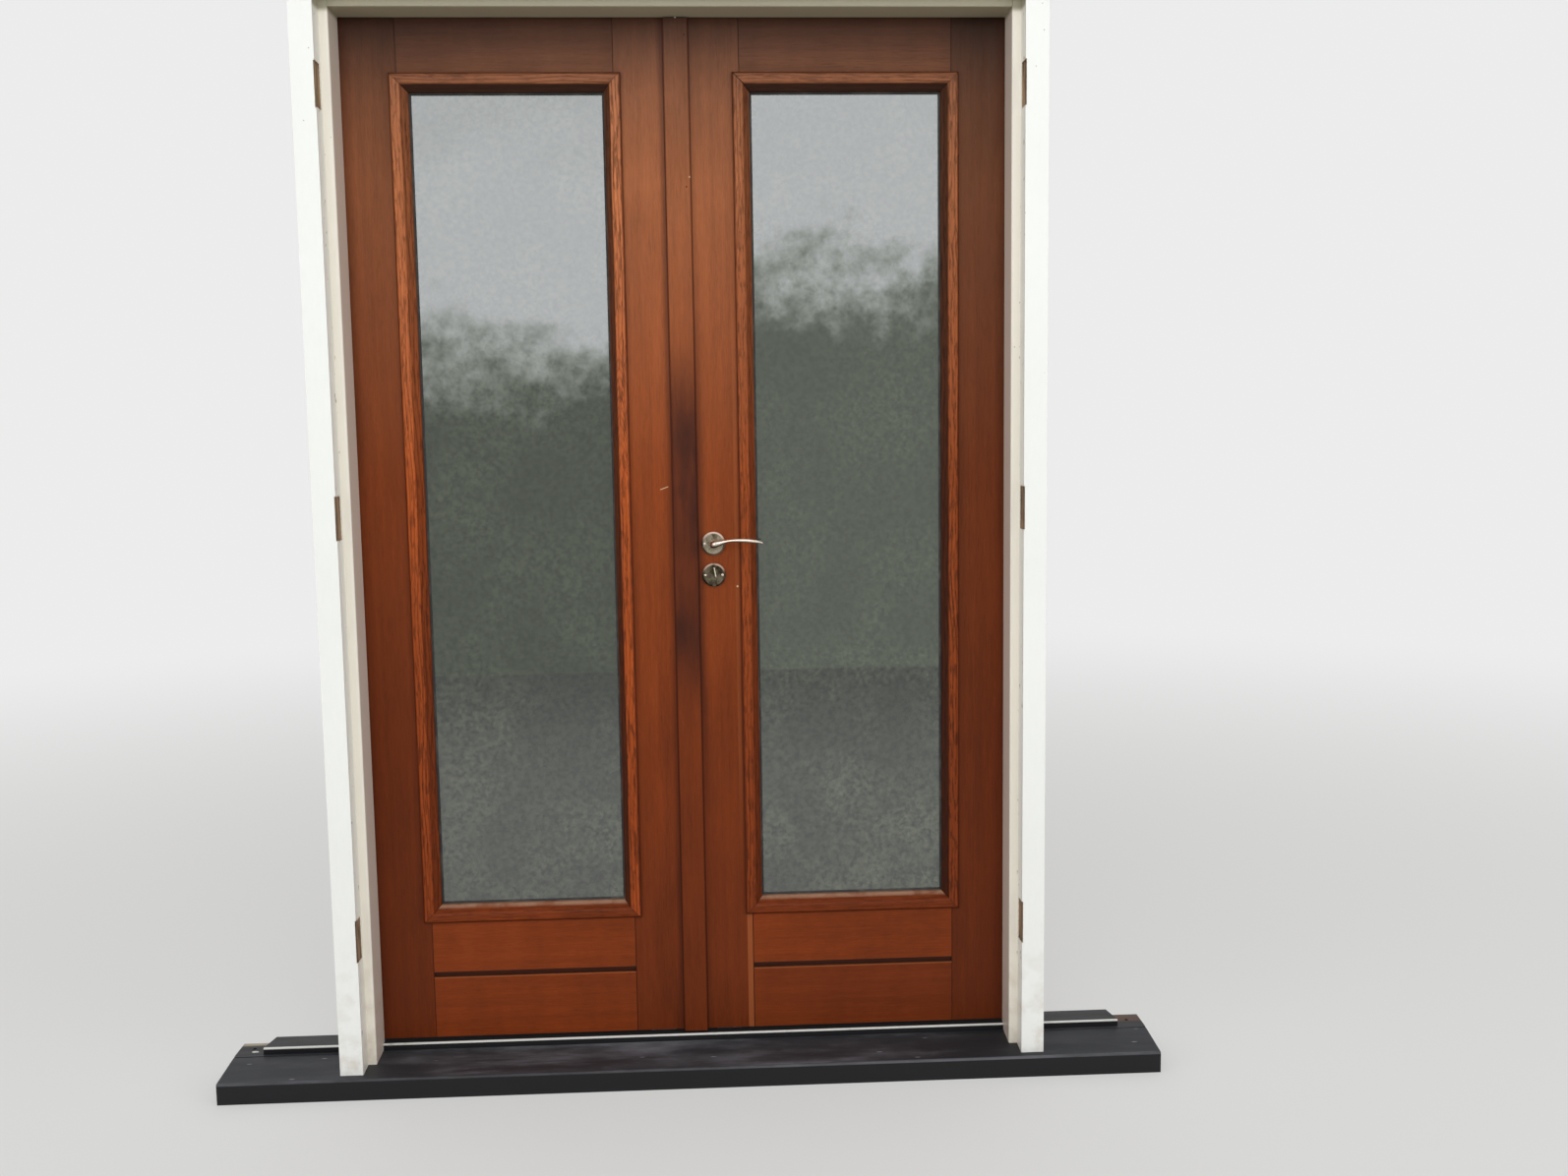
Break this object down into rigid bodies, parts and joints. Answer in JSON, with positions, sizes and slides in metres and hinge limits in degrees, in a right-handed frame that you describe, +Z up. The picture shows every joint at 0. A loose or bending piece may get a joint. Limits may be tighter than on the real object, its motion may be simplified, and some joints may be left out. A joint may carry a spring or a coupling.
{
  "type": "double glazed doors with frame",
  "caption": "Pair of tall glazed timber doors with raised mouldings, lapped meeting strip, lever and lock, hung in a rebated painted frame on a black threshold.",
  "frame": {"origin": "on the underside of the threshold, midway along it, in the plane of the frame's front face", "axes": "+X to the right along the frame seen from the front, +Y from the front face to the back, +Z up"},
  "size_m": [2, 0.228, 2.299],
  "materials": {
    "stained_wood": "reddish-brown stained hardwood, satin",
    "moulding_wood": "lighter stained moulding, open grain, satin",
    "frame_paint": "cream and white gloss paint on timber",
    "threshold_black": "black, scuffed satin",
    "glass": "clear double glazing",
    "spacer_bar": "dark matt",
    "black_rubber": "matt",
    "packer_plastic": "matt",
    "satin_metal": "satin nickel",
    "zinc_steel": "zinc plated",
    "cylinder_brass": "nickel plated, dull",
    "worn_keep": "worn and dusty"
  },
  "bodies": {
    "frame": {"left_jamb": "frame_paint", "right_jamb": "frame_paint", "head": "frame_paint", "threshold": "threshold_black", "bolt_keeps": "worn_keep", "frame_seal": "black_rubber", "frame_hinge_plates": "zinc_steel", "hinge_pins": "zinc_steel"},
    "right_leaf": {"right_hinge_stile": "stained_wood", "right_meeting_stile": "stained_wood", "right_top_rail": "stained_wood", "right_upper_board": "stained_wood", "right_lower_board": "stained_wood", "right_panes": "glass", "right_spacer": "spacer_bar", "right_glazing_tape": "black_rubber", "right_glazing_packers": "packer_plastic", "right_hinge_plates": "zinc_steel", "right_moulding_left": "moulding_wood", "right_moulding_right": "moulding_wood", "right_moulding_bottom": "moulding_wood", "right_moulding_top": "moulding_wood", "right_beads": "moulding_wood", "lock_case": "zinc_steel", "lock_faceplate": "zinc_steel", "lever_roses": "satin_metal", "cylinder_roses": "satin_metal", "cylinder_body": "cylinder_brass"},
    "left_leaf": {"left_hinge_stile": "stained_wood", "left_meeting_stile": "stained_wood", "left_top_rail": "stained_wood", "left_upper_board": "stained_wood", "left_lower_board": "stained_wood", "left_panes": "glass", "left_spacer": "spacer_bar", "left_glazing_tape": "black_rubber", "left_glazing_packers": "packer_plastic", "left_hinge_plates": "zinc_steel", "left_moulding_left": "moulding_wood", "left_moulding_right": "moulding_wood", "left_moulding_bottom": "moulding_wood", "left_moulding_top": "moulding_wood", "left_beads": "moulding_wood", "strike_plate": "zinc_steel", "bolt_gear": "zinc_steel", "bolt_plate": "satin_metal", "meeting_strip": "stained_wood", "meeting_seal": "black_rubber"},
    "lever": {"spindle": "zinc_steel", "follower": "zinc_steel", "outside_lever": "satin_metal", "inside_lever": "satin_metal"},
    "latch": {"latch_bolt": "zinc_steel"},
    "cylinder": {"cylinder_turn": "cylinder_brass"},
    "deadbolt": {"deadbolt": "zinc_steel"},
    "right_top_rod": {"right_top_rod": "zinc_steel"},
    "right_bottom_rod": {"right_bottom_rod": "zinc_steel"},
    "bolt_handle": {"bolt_handle": "satin_metal"},
    "left_top_rod": {"left_top_rod": "zinc_steel"},
    "left_bottom_rod": {"left_bottom_rod": "zinc_steel"}
  },
  "joints": [
    {"name": "right_leaf_swing", "type": "hinge", "parent": "frame", "child": "right_leaf", "pos_m": [0.6985, 0.162, 0], "axis": [0, 0, -1], "range_deg": [0, 100]},
    {"name": "left_leaf_swing", "type": "hinge", "parent": "frame", "child": "left_leaf", "pos_m": [-0.6985, 0.162, 0], "axis": [0, 0, 1], "range_deg": [0, 93]},
    {"name": "lever_turn", "type": "hinge", "parent": "right_leaf", "child": "lever", "pos_m": [0.058, 0.136, 1.151], "axis": [0, 1, 0], "range_deg": [0, 45], "stiffness_Nm_per_rad": 1.5, "springref_deg": -22.92},
    {"name": "latch_slide", "type": "slide", "parent": "right_leaf", "child": "latch", "axis": [1, 0, 0], "range_m": [0, 0.009]},
    {"name": "cylinder_turn", "type": "hinge", "parent": "right_leaf", "child": "cylinder", "pos_m": [0.058, 0.136, 1.084], "axis": [0, 1, 0], "range_deg": [0, 180]},
    {"name": "deadbolt_slide", "type": "slide", "parent": "right_leaf", "child": "deadbolt", "axis": [-1, 0, 0], "range_m": [0, 0.02]},
    {"name": "right_top_rod_slide", "type": "slide", "parent": "right_leaf", "child": "right_top_rod", "axis": [0, 0, 1], "range_m": [0, 0.02]},
    {"name": "right_bottom_rod_slide", "type": "slide", "parent": "right_leaf", "child": "right_bottom_rod", "axis": [0, 0, -1], "range_m": [0, 0.02]},
    {"name": "bolt_handle_turn", "type": "hinge", "parent": "left_leaf", "child": "bolt_handle", "pos_m": [-0.073, 0.136, 1.151], "axis": [0, 1, 0], "range_deg": [0, 90]},
    {"name": "left_top_rod_slide", "type": "slide", "parent": "left_leaf", "child": "left_top_rod", "axis": [0, 0, 1], "range_m": [0, 0.02]},
    {"name": "left_bottom_rod_slide", "type": "slide", "parent": "left_leaf", "child": "left_bottom_rod", "axis": [0, 0, -1], "range_m": [0, 0.02]}
  ],
  "couplings": [
    {"joint": "left_leaf_swing", "follows": "right_leaf_swing", "ratio": 0.93},
    {"joint": "latch_slide", "follows": "lever_turn", "m_per_rad": 0.011458},
    {"joint": "cylinder_turn", "follows": "right_top_rod_slide", "rad_per_m": 157.08},
    {"joint": "deadbolt_slide", "follows": "right_top_rod_slide", "ratio": 1},
    {"joint": "right_bottom_rod_slide", "follows": "right_top_rod_slide", "ratio": 1},
    {"joint": "bolt_handle_turn", "follows": "left_top_rod_slide", "rad_per_m": 78.539},
    {"joint": "left_bottom_rod_slide", "follows": "left_top_rod_slide", "ratio": 1}
  ]
}
